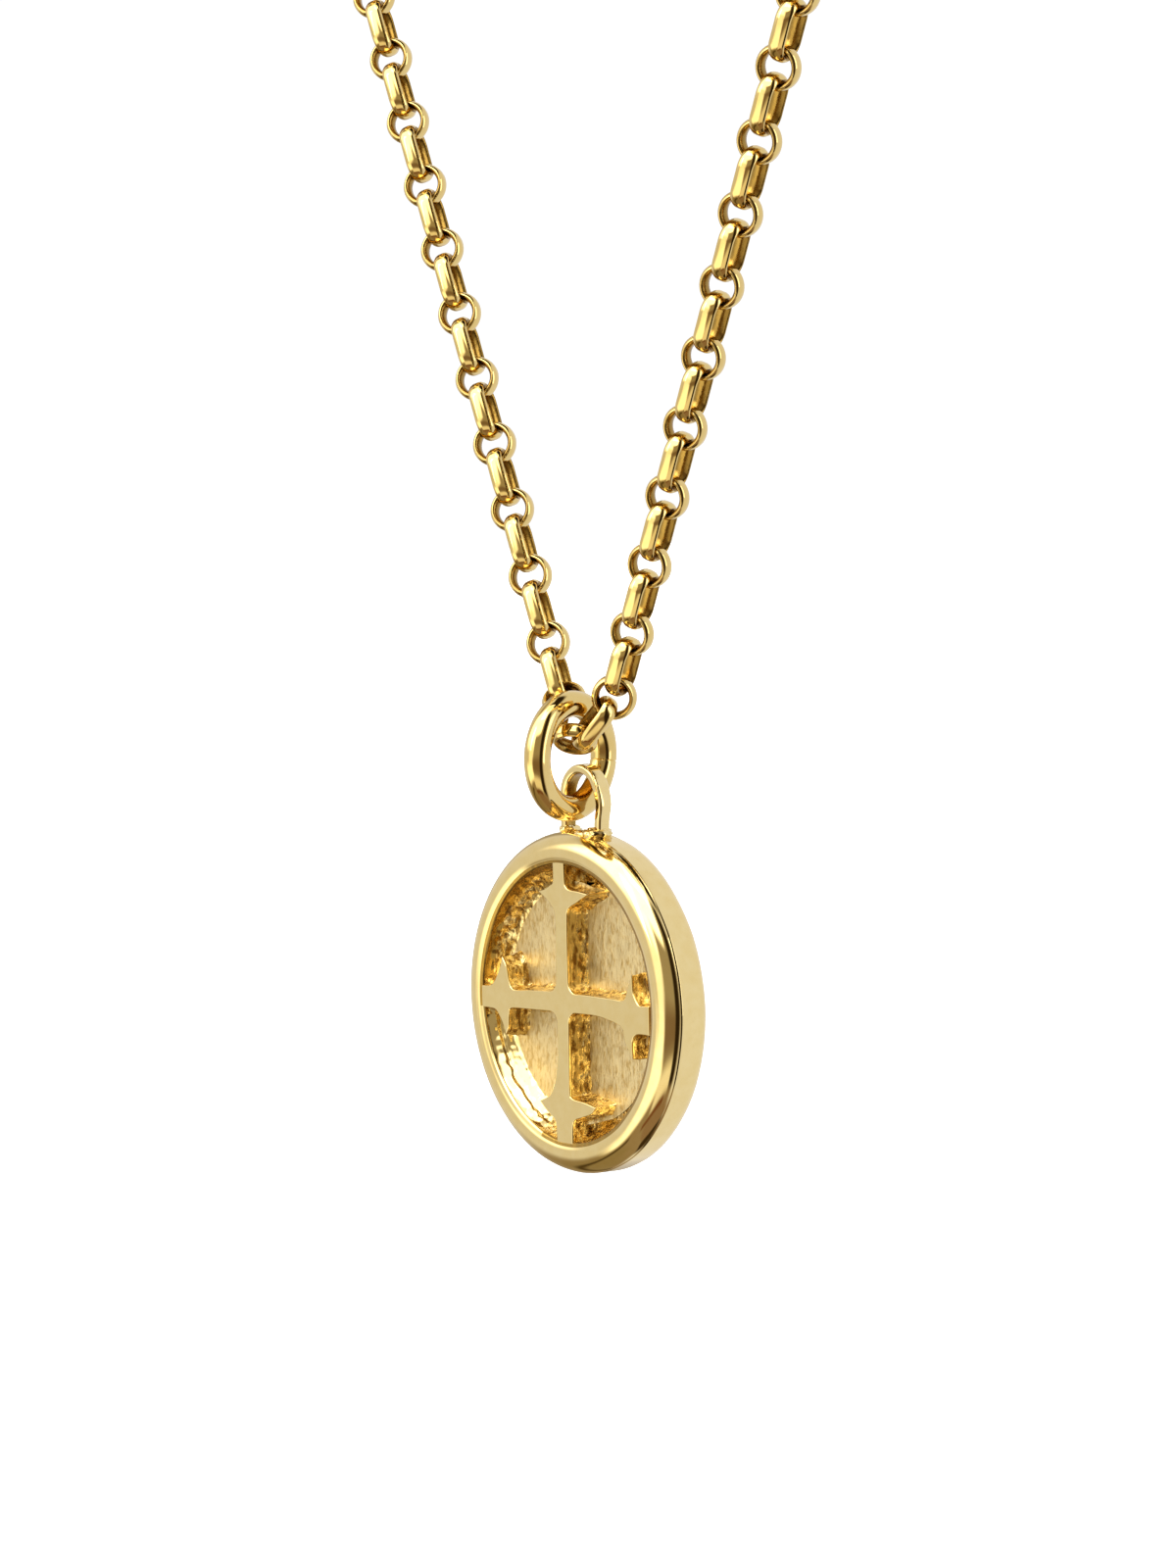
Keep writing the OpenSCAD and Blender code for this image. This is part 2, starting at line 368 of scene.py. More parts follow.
class Links:
    """The chain's links, laid out as in the solid parts: low links as listed, then up each strand."""

    # Where the lowest point lies to the right and in depth
    lowest = (2.61 * MM, -0.93 * MM)
    # Low links: middle in millimetres from the lowest point, rise, lean and turn in degrees, kind, side
    low_rows = (
        ((0, 0, 0), 17.9, 8.4, 153.8, "round", "left"),
        ((1.381, 0.24, 0.904), 53, 18, 53.7, "long", "right"),
        ((2.309, 0.815, 2.29), 66, 11.3, 132.4, "round", "right"),
        ((-1.738, -0.205, 0.839), 152.6, 55.3, 77.7, "long", "left"),
        ((-2.433, 1.122, 1.816), 151.6, 8.4, 145.1, "round", "left"),
    )
    # Where each strand starts, in millimetres from the lowest point
    strand_starts = {"left": (-2.987, 1.443, 1.939), "right": (2.451, 0.953, 2.812)}

    def __init__(self, sizes, clasp_diameter, clasp_wire):
        self.sizes = sizes
        self.long_reach = sizes.long_length - 2 * sizes.wire_thickness - sizes.play
        self.round_reach = sizes.round_diameter - 2 * sizes.wire_thickness - sizes.play
        self.neck_z = clasp_diameter / 2 - sizes.neck_radius
        self.low = np.array([*self.lowest, self.neck_z - sizes.drop])
        self.hook = clasp_diameter / 2 - clasp_wire - sizes.play / 2

    def low_links(self, side):
        for at, rise, lean, turn, kind, where in self.low_rows:
            if where == side:
                place = self.low + np.array(at) * MM
                spin = turn_y(-radians(rise)) @ turn_z(radians(lean)) @ turn_x(radians(turn))
                yield kind, place, spin

    def strand(self, side):
        """Kind, middle and turning matrix of each link of a strand, from the bottom up."""
        sign = 1 if side == "right" else -1
        start = self.low + np.array(self.strand_starts[side]) * MM
        radius = self.sizes.neck_radius
        rise = self.neck_z - start[2]
        gap = hypot(start[0], rise)
        straight = sqrt(gap ** 2 - radius ** 2)
        angle = asin(radius / gap) - atan(sign * start[0] / rise)
        route = straight + radius * (pi / 2 + angle) - self.hook
        pair = self.long_reach + self.round_reach
        pairs = floor((route - self.long_reach) / pair)
        stretch = route / (pairs * pair + self.long_reach)
        count = 2 * pairs + 1
        full = floor(straight / pair) * 2

        def point(s):
            if s < straight:
                x, z = start[0] + sign * s * sin(angle), start[2] + s * cos(angle)
            else:
                a = (s - straight) / radius - angle
                x, z = sign * radius * cos(a), self.neck_z + radius * sin(a)
            return np.array([x, start[1] * (1 - s / route), z])

        def joint(k):
            return point(stretch * (k // 2 * pair + (self.long_reach if k % 2 else 0)))

        for k in range(1, count + 1):
            a, b = joint(k - 1), joint(k)
            run = b - a
            share = 1 if k <= full else (count - k) / (count - full)
            full_turn = self.sizes.turn_left if side == "left" else self.sizes.turn_right
            turn = full_turn * share + (0 if k % 2 else pi / 2)
            lean = asin(run[1] / np.linalg.norm(run))
            spin = turn_y(-atan2(run[2], run[0])) @ turn_z(lean) @ turn_x(turn)
            yield "long" if k % 2 else "round", (a + b) / 2, spin


# Steps across the outer and the inner face of a link's wire, and how much wider a long link's wire is
OUTER_STEPS = 12
INNER_STEPS = 6
LONG_LINK_SPREAD = 1.08


def wire_section(thickness, width):
    """Section of a link's wire, (outward, across): nearly flat outside and rounded off to its edges."""
    flat = 0.1 * MM
    edge = width / 2
    half = edge - 0.02 * MM
    rim = 0.045 * MM

    def bulge(u, power):
        away = max(0.0, abs(u) - flat) / (half - flat)
        return rim + (thickness / 2 - rim) * (1 - away ** power)

    outer = [half * cos(pi * i / OUTER_STEPS) for i in range(OUTER_STEPS + 1)]
    inner = [-half * cos(pi * i / INNER_STEPS) for i in range(INNER_STEPS + 1)]
    outer_face = [(bulge(u, 2.2), u) for u in outer]
    inner_face = [(-bulge(u, 1.8), u) for u in inner]
    return np.array([*outer_face, (0.0, -edge), *inner_face, (0.0, edge)])


def link_shape(kind, sizes, around=40):
    """Grid of one link about its own middle, long way on X, lying in the XY plane."""
    spread = 1 if kind == "round" else LONG_LINK_SPREAD
    section = wire_section(sizes.wire_thickness, sizes.wire_width * spread)
    if kind == "round":
        bend, straight = sizes.round_diameter / 2 - sizes.wire_thickness / 2, 0
    else:
        bend = sizes.long_width / 2 - sizes.wire_thickness / 2
        straight = (sizes.long_length - sizes.long_width) / 2
    rows = []
    for i in range(around):
        a = 2 * pi * (i + 0.5) / around
        out = np.array([cos(a), sin(a), 0])
        at = np.array([straight if cos(a) > 0 else -straight, 0, 0]) + bend * out
        rows.append([at + out * q + np.array([0, 0, u]) for q, u in section])
    return lay_grid(np.array(rows), True, True)


class NECKLACE_OT_chain(bpy.types.Operator):
    """Lays every link of the belcher chain, one joined mesh for each side"""

    bl_idname = "necklace.chain"
    bl_label = "Link the chain"

    def execute(self, context):
        rings = context.scene.necklace_rings
        sizes = context.scene.necklace_chain
        links = Links(sizes, rings.clasp_diameter, rings.clasp_wire)
        shapes = {kind: link_shape(kind, sizes) for kind in ("long", "round")}
        for side in ("left", "right"):
            parts = []
            for kind, place, spin in (*links.low_links(side), *links.strand(side)):
                points, quads = shapes[kind]
                parts.append((points @ spin.T + place, quads))
            piece = make_piece(f"links_{side}", parts)
            dress(piece, "necklace", gold("chain"), f"chain_{side}")
            # Painted shade on the inner faces of every link
            columns = len(wire_section(sizes.wire_thickness, sizes.wire_width))
            rows = len(piece.data.polygons) // columns
            shade_inside(piece, rows, columns, OUTER_STEPS + 1, columns - 1, gold("painted_shade"))
        return {"FINISHED"}


# Rings


def bent_wire(centre, plane_x, plane_y, major, wire_radius, around, section_steps):
    """Closed ring of round wire; around gives the angles, wire_radius the wire's radius at each."""
    normal = np.cross(plane_x, plane_y)
    rows = []
    for a in around:
        out = plane_x * cos(a) + plane_y * sin(a)
        radius = wire_radius(a)
        rows.append([
            centre + out * (major + radius * cos(b)) + normal * radius * sin(b)
            for b in (2 * pi * j / section_steps for j in range(section_steps))
        ])
    return lay_grid(np.array(rows), True, True)


class NECKLACE_OT_jump_ring(bpy.types.Operator):
    """Bends the jump ring, with the fine seam where its ends meet"""

    bl_idname = "necklace.jump_ring"
    bl_label = "Bend the jump ring"

    def execute(self, context):
        sizes = context.scene.necklace_rings
        seam = radians(-8)
        wire = sizes.wire / 2
        seam_width = radians(0.55)

        def radius(a):
            away = (a - seam + pi) % (2 * pi) - pi
            groove = 0.05 * exp(-((away / seam_width) ** 2))
            return wire * (1 - groove)

        coarse = [seam + radians(4) + radians(352) * i / 110 for i in range(111)]
        fine = [seam + radians(0.25) * i for i in range(-15, 16)]
        across = np.array([-sin(sizes.yaw), cos(sizes.yaw), 0])
        ring = bent_wire(np.array(RING_AT), across, np.array([0, 0, 1.0]), (sizes.diameter - sizes.wire) / 2,
                         radius, fine + coarse, 40)
        piece = make_piece("ring_wire", [ring])
        dress(piece, "ring", gold("chain"), "jump_ring")
        return {"FINISHED"}


class NECKLACE_OT_clasp(bpy.types.Operator):
    """Makes the plain ring clasp with its thicker sleeve"""

    bl_idname = "necklace.clasp"
    bl_label = "Make the clasp"

    def execute(self, context):
        sizes = context.scene.necklace_rings
        wire, sleeve = sizes.clasp_wire / 2, sizes.sleeve_wire / 2
        half_sleeve = radians(35)
        edge = radians(3)

        def radius(a):
            away = abs((a - pi / 2 + pi) % (2 * pi) - pi)
            share = clamp((half_sleeve - away) / edge)
            return wire + (sleeve - wire) * sqrt(1 - (1 - share) ** 2)

        around = [2 * pi * i / 240 for i in range(240)]
        centre = np.array([0, 0, sizes.clasp_diameter / 2])
        ring = bent_wire(centre, np.array([1.0, 0, 0]), np.array([0, 0, 1.0]),
                         (sizes.clasp_diameter - sizes.clasp_wire) / 2, radius, around, 28)
        piece = make_piece("clasp_ring", [ring])
        dress(piece, "necklace", gold("chain"), "clasp")
        return {"FINISHED"}


# Medallion


# Sectors of the lip and the wall that differ from the rest, in degrees clockwise from the top: the lip left
# without painted shade, the wall's polished sector, and the wall's strip of painted shadow near its top
UNSHADED_LIP = (195, 262)
BRIGHT_WALL = (198, 266)
PAINTED_SHADOW_WALL = (274, 350)
WALL_DRAFT = 0.6 * MM


def in_sector(around, sector):
    """Which of the even steps round the medallion lie in a sector."""
    turn = np.arange(around) * 360 / around
    return (sector[0] < turn) & (turn < sector[1])


def medallion_middle(sizes):
    """Middle of the medallion, halfway through its thickness."""
    x = (MEDALLION_LOW.x + MEDALLION_HIGH.x) / 2
    y = (MEDALLION_LOW.y + MEDALLION_HIGH.y) / 2
    return np.array([x, y, MEDALLION_LOW.z + sizes.diameter / 2])


def arc(centre, radius, start, end, steps):
    """Points along an arc in the plane of a profile."""
    return [
        (centre[0] + radius * cos(start + (end - start) * i / steps),
         centre[1] + radius * sin(start + (end - start) * i / steps))
        for i in range(steps + 1)
    ]


def rim_profile(sizes):
    """Profile of rim and back, (distance from the middle, depth), from the sunk wall's foot to the back."""
    half, outer = sizes.thickness / 2, sizes.diameter / 2
    inner = outer - sizes.rim_width
    edge, lip = 0.95 * MM, 0.16 * MM
    # Rounded lip, then the flat front
    line = arc((inner + lip, -half + lip + 0.09 * MM), lip, pi, 1.42 * pi, 7)
    line += [(inner + (0.26 + 0.07 * i) * MM, -half + 0.075 * MM * (1 - i / 5) ** 2) for i in range(5)]
    # Round outer part of the front, down to the upright side
    round_in, round_back = outer - inner - 0.62 * MM, 1.02 * MM
    for i in range(27):
        a = radians(-90 + 82 * i / 26)
        line.append((outer - 0.012 * MM + round_in * (cos(a) - 1), -half + round_back * (1 + sin(a))))
    line += [(outer - 0.004 * MM, -half + 0.9 * MM), (outer, -half + 0.94 * MM), (outer, -0.1 * MM)]
    line += arc((outer - edge, half - edge), edge, 0, 0.5 * pi, 18)
    # Shallow flat back, nearly to the middle
    sink = 0.12 * MM
    line += [(inner + 0.25 * MM, half), (inner, half - 0.02 * MM), (inner - 0.15 * MM, half - 0.6 * sink),
             (inner - 0.3 * MM, half - sink)]
    line += [(inner * share, half - sink) for share in (0.8, 0.55, 0.3, 0.1)]
    return line


def pocket(distance, a):
    """How much of the shallow pocket between a spur and the rim lies here, from 0 to 1."""
    away = abs((a + CROSS_LEAN + pi / 4) % (pi / 2) - pi / 4)
    return clamp((distance / MM - 5.7) / 0.5) * clamp((radians(21) - away) / radians(5))


def turned(centre, profile, around, shift=None):
    """Grid of a profile (distance, depth) turned about the medallion's axis."""
    rows = []
    for distance, depth in profile:
        row = []
        for i in range(around):
            a = 2 * pi * i / around
            r, d = (distance, depth) if shift is None else shift(distance, depth, a)
            row.append(centre + np.array([r * sin(a), d, r * cos(a)]))
        rows.append(row)
    return lay_grid(np.array(rows), False, True)


# Sides of the four arms as they came out of the casting, in millimetres: (from the arm's middle line,
# from the crossing), from the crossing to the spur's tip, and from the tip out to the rim
ARM_SIDES = {
    "top_left": (((0.52, 1.25), (0.5, 2.6), (0.46, 4.2), (0.62, 4.9), (1.1, 5.35), (1.92, 5.8)),
                 ((1.92, 5.8), (1.4, 5.92), (1.0, 6.1), (0.64, 6.3), (0.58, 6.7), (0.6, 7.42))),
    "top_right": (((0.52, 1.25), (0.52, 2.6), (0.54, 4.2), (0.66, 4.95), (1.4, 5.35), (2.46, 5.86)),
                  ((2.46, 5.86), (1.6, 5.96), (0.8, 6.02), (0.46, 6.2), (0.38, 6.6), (0.36, 7.42))),
    "right_up": (((0.56, 1.25), (0.57, 2.6), (0.54, 4.4), (0.56, 5.3), (1.2, 5.66), (1.9, 6.05)),
                 ((1.9, 6.05), (1.35, 6.06), (0.95, 6.12), (0.42, 6.5), (0.36, 6.9), (0.38, 7.42))),
    "right_down": (((0.46, 1.25), (0.46, 2.9), (0.66, 4.3), (0.95, 5.12), (1.7, 5.36), (2.48, 5.98)),
                   ((2.48, 5.98), (1.85, 5.94), (1.5, 5.98), (1.24, 6.2), (1.14, 6.6), (1.14, 7.42))),
    "bottom_left": (((0.5, 1.25), (0.55, 2.8), (0.8, 4.1), (1.2, 4.85), (1.6, 5.1), (2.2, 5.34)),
                    ((2.2, 5.34), (1.74, 5.72), (1.3, 6.0), (0.9, 6.25), (0.78, 6.7), (0.74, 7.42))),
    "bottom_right": (((0.5, 1.25), (0.48, 2.8), (0.46, 4.6), (0.66, 4.98), (1.7, 5.1), (2.7, 5.28)),
                     ((2.7, 5.28), (2.3, 5.66), (1.5, 5.92), (0.86, 6.12), (0.66, 6.5), (0.62, 7.42))),
    "left_down": (((0.5, 1.25), (0.54, 2.8), (0.6, 4.5), (0.9, 4.78), (1.6, 4.86), (2.05, 5.1)),
                  ((2.05, 5.1), (1.5, 5.36), (1.1, 5.66), (0.78, 6.0), (0.72, 6.5), (0.72, 7.42))),
    "left_up": (((0.56, 1.25), (0.5, 2.8), (0.42, 4.3), (0.8, 4.72), (1.6, 4.95), (2.12, 5.32)),
                ((2.12, 5.32), (1.6, 5.5), (1.1, 5.8), (0.72, 6.1), (0.5, 6.5), (0.44, 7.42))),
}
# Clockwise round the cross: each arm's first and second side
ARM_ORDER = (("top_left", "top_right"), ("right_up", "right_down"), ("bottom_right", "bottom_left"),
             ("left_down", "left_up"))
CROSSING_RADIUS = 0.62
CROSS_LEAN = radians(2.2)
CROSS_SHIFT = (-0.2, 0.0)
# Levels of the cross from its rounded edge down its wall, in millimetres: (out from the outline,
# below the face). The face ends at level 3, where the wall starts
CROSS_LEVELS = (
    (-0.045, 0.0), (-0.018, 0.01), (0.0, 0.04), (0.012, 0.14), (0.02, 0.26), (0.03, 0.38), (0.04, 0.5),
    (0.05, 0.62), (0.065, 0.74), (0.08, 0.85), (0.1, 0.95), (0.12, 1.05), (0.15, 1.15), (0.2, 1.23),
    (0.24, 1.31),
)
WALL_LEVEL = 3


def smooth_run(points, steps):
    """Points along a soft curve through the given ones."""
    p = [np.array(q, float) for q in points]
    p = [2 * p[0] - p[1], *p, 2 * p[-1] - p[-2]]
    out = []
    for a, b, c, d in zip(p, p[1:], p[2:], p[3:]):
        for i in range(steps):
            t = i / steps
            out.append(0.5 * (2 * b + (c - a) * t + (2 * a - 5 * b + 4 * c - d) * t * t
                              + (3 * b - a - 3 * c + d) * t ** 3))
    out.append(p[-2])
    return out


def arm_side(name):
    """One side of an arm, from the crossing out to the rim, in millimetres."""
    inner, outer = ARM_SIDES[name]
    return smooth_run(inner, 7)[:-1] + smooth_run(outer, 7)


def cross_outline():
    """Outline of the cross on the medallion's face, clockwise, in metres."""
    line = []
    for number, (first, second) in enumerate(ARM_ORDER):
        a = pi / 2 * number
        along = np.array([sin(a), cos(a)])
        across = np.array([cos(a), -sin(a)])
        following = ARM_SIDES[ARM_ORDER[(number + 1) % 4][0]][0][0][0]
        own = ARM_SIDES[second][0][0][0]
        left = [(-p[0], p[1]) for p in arm_side(first)]
        right = [(p[0], p[1]) for p in reversed(arm_side(second))]
        fillet = [(own + CROSSING_RADIUS * (1 - cos(t)), following + CROSSING_RADIUS * (1 - sin(t)))
                  for t in np.linspace(0, pi / 2, 12)]
        for out, reach in left + right + fillet:
            line.append((across * out + along * reach) * MM)
    line = np.array(line)
    c, s = cos(CROSS_LEAN), sin(CROSS_LEAN)
    return line @ np.array([[c, s], [-s, c]]) + np.array(CROSS_SHIFT) * MM


def resample(line, spacing):
    """Points at an even spacing along a closed line."""
    closed = np.vstack([line, line[:1]])
    steps = np.linalg.norm(np.diff(closed, axis=0), axis=1)
    along = np.concatenate([[0], np.cumsum(steps)])
    count = int(along[-1] / spacing)
    marks = np.linspace(0, along[-1], count, endpoint=False)
    return np.stack([np.interp(marks, along, closed[:, i]) for i in range(2)], 1)


def outward(line, reach=3):
    """Unit normals that point out of a clockwise closed line."""
    ahead = np.roll(line, -reach, axis=0) - np.roll(line, reach, axis=0)
    ahead /= np.linalg.norm(ahead, axis=1)[:, None]
    return np.stack([-ahead[:, 1], ahead[:, 0]], 1)


class NECKLACE_OT_medallion(bpy.types.Operator):
    """Casts the medallion: rim and back, sunk field with crinkled wall, and raised cross"""

    bl_idname = "necklace.medallion"
    bl_label = "Cast the medallion"

    def execute(self, context):
        sizes = context.scene.necklace_medallion
        centre = medallion_middle(sizes)
        self.cast_rim(sizes, centre)
        self.cast_wall(sizes, centre)
        self.cast_field(sizes, centre)
        self.cast_cross(sizes, centre)
        return {"FINISHED"}

    def cast_rim(self, sizes, centre):
        """Rim and back, with painted shade on the inner lip and the front's first rows, save for one sector.
        """
        around, lip_rows = 300, 8

        def hand_finish(distance, depth, a):
            wave = wrinkle((8.8 * MM * cos(a), depth * 0.6, 8.8 * MM * sin(a)), 3.0 * MM, 2)
            return distance + 0.018 * MM * wave, depth + 0.012 * MM * wave

        points, quads = turned(centre, rim_profile(sizes), around, hand_finish)
        last = len(points) - around
        piece = make_piece("medallion_rim", [(points, quads)], [range(last, last + around)])
        dress(piece, "pendant", gold("polished"), "medallion")
        # Painted shade: outside the one sector left bright, the inner lip and the first rows of the front
        # take the darker gold
        piece.data.materials.append(gold("painted_shade"))
        marks = np.zeros(len(piece.data.polygons), np.int32)
        lip = marks[:lip_rows * around].reshape(lip_rows, around)
        lip[:, ~in_sector(around, UNSHADED_LIP)] = 1
        piece.data.polygons.foreach_set("material_index", marks)

    def floor_of_field(self, sizes):
        """Depth of the sunk field's floor, and the distance at which the wall's foot meets it."""
        inner = sizes.diameter / 2 - sizes.rim_width
        return -sizes.thickness / 2 + sizes.field_depth, inner - WALL_DRAFT

    def cast_wall(self, sizes, centre):
        """The sunk field's crinkled wall: creased at the lower left, with a painted shadow along its top at
        the upper left.
        """
        floor_y, foot = self.floor_of_field(sizes)
        inner = sizes.diameter / 2 - sizes.rim_width
        top = -sizes.thickness / 2 + 0.24 * MM
        drop = floor_y - top
        around, steps, painted_shadow_rows = 520, 14, 5
        wall = [(inner, top)]
        wall += [(inner - WALL_DRAFT * (i / steps) ** 1.3, top + drop * i / steps) for i in range(1, steps)]
        wall += [(foot - 0.03 * MM, floor_y - 0.02 * MM), (foot - 0.1 * MM, floor_y + 0.03 * MM),
                 (foot - 0.34 * MM, floor_y + 0.04 * MM)]
        bright_middle = radians(sum(BRIGHT_WALL) / 2)
        bright_reach = radians((BRIGHT_WALL[1] - BRIGHT_WALL[0]) / 2)

        def crinkled(distance, depth, a):
            share = clamp((depth - top) / drop)
            lean = exp(-(abs(a - bright_middle) / bright_reach) ** 4)
            crease = (share - 0.52 - 0.07 * wrinkle((8 * MM * a, 0, 0), 0.9 * MM, 2)) / 0.08
            distance -= (0.26 * share - 0.09 * exp(-crease ** 2)) * MM * lean
            place = (distance * sin(a), depth * 1.5, distance * cos(a))
            rough = wrinkle(place, 0.7 * MM, 2) + 0.5 * wrinkle((8 * MM * a, 0, depth * 0.6), 0.5 * MM, 2)
            hollow = sizes.crinkle * 1.5 * rough * min(1, share * 3) * (1 - 0.6 * lean)
            return distance + hollow, depth + (0.5 * hollow if share > 0.9 else 0)

        piece = make_piece("medallion_wall", [turned(centre, wall, around, crinkled)])
        dress(piece, "pendant", gold("cast"))
        piece.data.materials.append(gold("polished"))
        piece.data.materials.append(gold("painted_shade"))
        marks = np.zeros((len(wall) - 1, around), np.int32)
        marks[:, in_sector(around, BRIGHT_WALL)] = 1
        # Painted shadow: the top rows of the wall at the upper left take the darker gold
        marks[:painted_shadow_rows, in_sector(around, PAINTED_SHADOW_WALL)] = 2
        piece.data.polygons.foreach_set("material_index", marks.ravel())

    def cast_field(self, sizes, centre):
        """The satin floor of the sunk field, with shallow pockets behind the spurs."""
        floor_y, foot = self.floor_of_field(sizes)
        around = 520
        shares = np.linspace(1, 0, 46)[:-1] ** 0.9
        profile = [((foot - 0.28 * MM) * s, floor_y) for s in shares]

        def uneven(distance, depth, a):
            place = (distance * sin(a), 0, distance * cos(a) * 0.4)
            lift = pocket(distance, a)
            rough = (0.012 + 0.09 * lift) * MM
            return distance, depth + rough * wrinkle(place, 0.5 * MM, 3) - 0.55 * MM * lift - 0.002 * MM

        points, quads = turned(centre, profile, around, uneven)
        last = len(points) - around
        piece = make_piece("medallion_field", [(points, quads)], [range(last, last + around)])
        dress(piece, "pendant", gold("satin"))

    def cast_cross(self, sizes, centre):
        """The cross's polished face with its rounded edge, and its crinkled wall down to the field."""
        top_y = -sizes.thickness / 2 + sizes.cross_step
        limit = sizes.diameter / 2 - sizes.rim_width + 0.12 * MM
        line = resample(cross_outline(), 0.055 * MM)
        normal = outward(line)
        rows = []
        for number, (outset, depth) in enumerate(CROSS_LEVELS):
            y = top_y + depth * MM
            swell = sizes.crinkle * 1.5 * min(1, (number - WALL_LEVEL) / 4)
            row = []
            for p, n in zip(line, normal):
                shift = outset * MM
                if number > WALL_LEVEL:
                    shift += swell * wrinkle((p[0], y * 1.4, p[1]), 0.6 * MM, 2)
                q = p + n * shift
                reach = hypot(*q)
                if reach > limit:
                    q = q * limit / reach
                row.append(centre + np.array([q[0], y, q[1]]))
            rows.append(row)
        rows = np.array(rows)
        edge = rows[0][:, [0, 2]] - centre[[0, 2]]
        flat = self.flat_face(edge, centre, top_y)
        face = make_piece("cross_face", [lay_grid(rows[:WALL_LEVEL + 1], False, True), flat])
        weld(face, 0.001 * MM)
        rounded = [abs(polygon.normal.y) < 0.999 for polygon in face.data.polygons]
        face.data.polygons.foreach_set("use_smooth", rounded)
        dress(face, "pendant", gold("polished"))
        wall = make_piece("cross_wall", [lay_grid(rows[WALL_LEVEL:], False, True)])
        dress(wall, "pendant", gold("cast"))

    def flat_face(self, edge, centre, top_y):
        """Triangles that fill the outline of the cross's flat face, as vertices and faces."""
        ring = [Vector(p) for p in edge / MM]
        sides = [(i, (i + 1) % len(ring)) for i in range(len(ring))]
        verts, _, faces, _, _, _ = delaunay_2d_cdt(ring, sides, [], 1, 1e-6)
        points = np.array([centre + np.array([v.x * MM, top_y, v.y * MM]) for v in verts])
        return points, np.array([list(f) for f in faces])


class NECKLACE_OT_loop(bpy.types.Operator):
    """Bends the soldered loop and adds the solder at its feet"""

    bl_idname = "necklace.loop"
    bl_label = "Solder the loop"

    def execute(self, context):
        sizes = context.scene.necklace_medallion
        centre = medallion_middle(sizes)
        section = self.strip_section(sizes.loop_strip, sizes.loop_depth)
        bend = sizes.loop_width / 2 - sizes.loop_strip / 2
        arch_z = sizes.diameter / 2 + sizes.loop_height - sizes.loop_width / 2
        leg = sizes.loop_height - sizes.loop_width / 2 + 0.6 * MM
        path = [((bend, -leg * (1 - i / 8)), (1, 0)) for i in range(8)]
        path += [((bend * cos(a), bend * sin(a)), (cos(a), sin(a))) for a in np.linspace(0, pi, 33)]
        path += [((-bend, -leg * i / 8), (-1, 0)) for i in range(1, 9)]
        rows = []
        for (x, z), (ox, oz) in path:
            row = []
            shoulder = 0.15 * MM * exp(-((z / MM + 0.35) / 0.55) ** 2) if x > 0 else 0
            taper = 1 - 0.16 * clamp(-z / leg)
            for q, d in section:
                y = d * (1 + 0.03 * sin(z / MM * 2.1)) * taper
                row.append(centre + np.array([x + shoulder + ox * q, y, arch_z + z + oz * q]))
            rows.append(row)
        loop = make_piece("loop_strip", [lay_grid(np.array(rows), False, True)])
        dress(loop, "pendant", gold("polished"))
        # Painted shade on the faces of the strip that look into the hole
        facing_hole = (8, 11)
        shade_inside(loop, len(rows) - 1, len(section), *facing_hole, gold("painted_shade"))
        self.solder(centre)
        return {"FINISHED"}

    def strip_section(self, strip, depth):
        """Section of the loop's strip, (outward, in depth), with rounded corners."""
        corner = 0.17 * MM
        section = []
        for quarter in range(4):
            mx = strip / 2 - corner if quarter in (0, 3) else corner - strip / 2
            my = depth / 2 - corner if quarter in (0, 1) else corner - depth / 2
            for i in range(5):
                a = pi / 2 * (quarter + i / 4)
                section.append((mx + corner * cos(a), my + corner * sin(a)))
        return section

    def solder(self, centre):
        """Lumps of solder round the feet of the loop, a heavier one on the right: (middle, reach)."""
        lumps = (
            ((1.35, -0.15, 8.98), (0.62, 0.85, 0.34)),
            ((-1.3, 0.0, 9.0), (0.5, 0.62, 0.26)),
            ((0.5, -0.35, 8.95), (0.7, 0.5, 0.2)),
        )
        layers, around = 20, 36
        parts = []
        for (x, y, z), (rx, ry, rz) in lumps:
            rows = []
            for i in range(1, layers):
                b = pi * i / layers
                row = []
                for j in range(around):
                    a = 2 * pi * j / around
                    out = np.array([sin(b) * cos(a), sin(b) * sin(a), cos(b)])
                    grow = 1 + 0.26 * wrinkle(out * MM + np.array([x, y, 0]) * MM, 0.42 * MM, 3)
                    row.append(centre + (np.array([x, y, z]) + out * np.array([rx, ry, rz]) * grow) * MM)
                rows.append(row)
            parts.append(lay_grid(np.array(rows), False, True))
        caps, start = [], 0
        for points, _ in parts:
            end = start + len(points)
            caps += [range(start, start + around), range(end - around, end)]
            start = end
        piece = make_piece("solder", parts, caps)
        dress(piece, "pendant", gold("polished"))


# Studio


